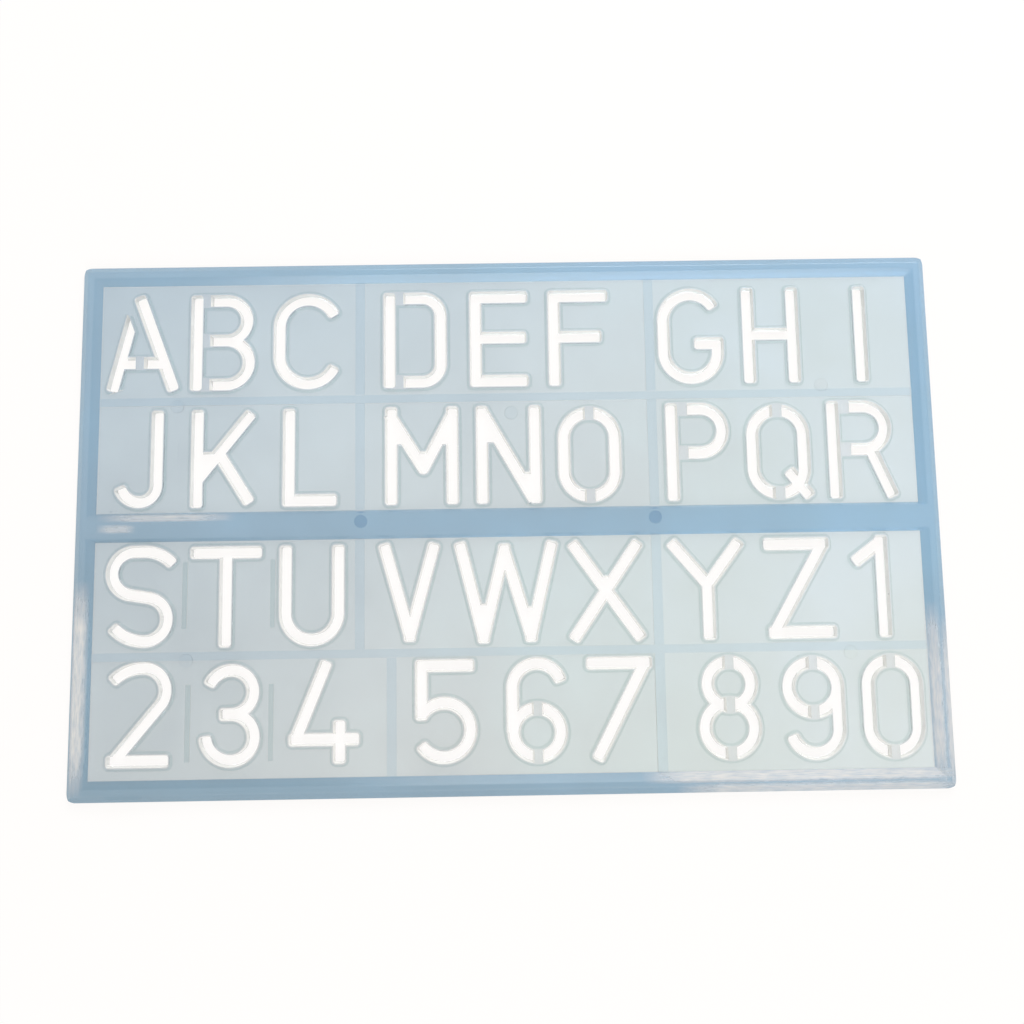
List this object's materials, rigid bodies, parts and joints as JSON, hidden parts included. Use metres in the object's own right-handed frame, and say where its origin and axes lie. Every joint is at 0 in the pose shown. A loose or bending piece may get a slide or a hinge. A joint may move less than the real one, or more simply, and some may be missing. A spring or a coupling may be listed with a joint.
{
  "type": "lettering stencil",
  "caption": "Moulded translucent plastic stencil with cut-out capital letters and digits for tracing by pen, raised rims round the slots and bevelled border rails.",
  "frame": {"origin": "middle of the flat underside", "axes": "+X along a line of letters in reading direction, +Y towards the first line of letters, +Z out of the face from which the letters read the right way round"},
  "size_m": [0.262, 0.1624, 0.003],
  "materials": {
    "web": "translucent pale blue, satin as moulded, 1.1 mm thick",
    "band": "translucent pale blue, satin as moulded, a little thicker than the web",
    "rail": "translucent blue, satin with rubbed edges, 3 mm thick"
  },
  "bodies": {
    "root": {"rail_top": "rail", "rail_bottom": "rail", "rail_left": "rail", "rail_right": "rail", "centre_bar": "rail", "band_upper": "band", "band_lower": "band", "band_one_left": "band", "band_one_right": "band", "band_two_left": "band", "band_two_right": "band", "band_three_left": "band", "band_three_right": "band", "band_four_left": "band", "band_four_right": "band", "letter_a": "web", "letter_b": "web", "letter_c": "web", "letter_d": "web", "letter_e": "web", "letter_f": "web", "letter_g": "web", "letter_h": "web", "letter_i": "web", "letter_j": "web", "letter_k": "web", "letter_l": "web", "letter_m": "web", "letter_n": "web", "letter_o": "web", "letter_p": "web", "letter_q": "web", "letter_r": "web", "letter_s": "web", "letter_t": "web", "letter_u": "web", "letter_v": "web", "letter_w": "web", "letter_x": "web", "letter_y": "web", "letter_z": "web", "digit_1": "web", "digit_2": "web", "digit_3": "web", "digit_4": "web", "digit_5": "web", "digit_6": "web", "digit_7": "web", "digit_8": "web", "digit_9": "web", "digit_0": "web"}
  },
  "joints": []
}
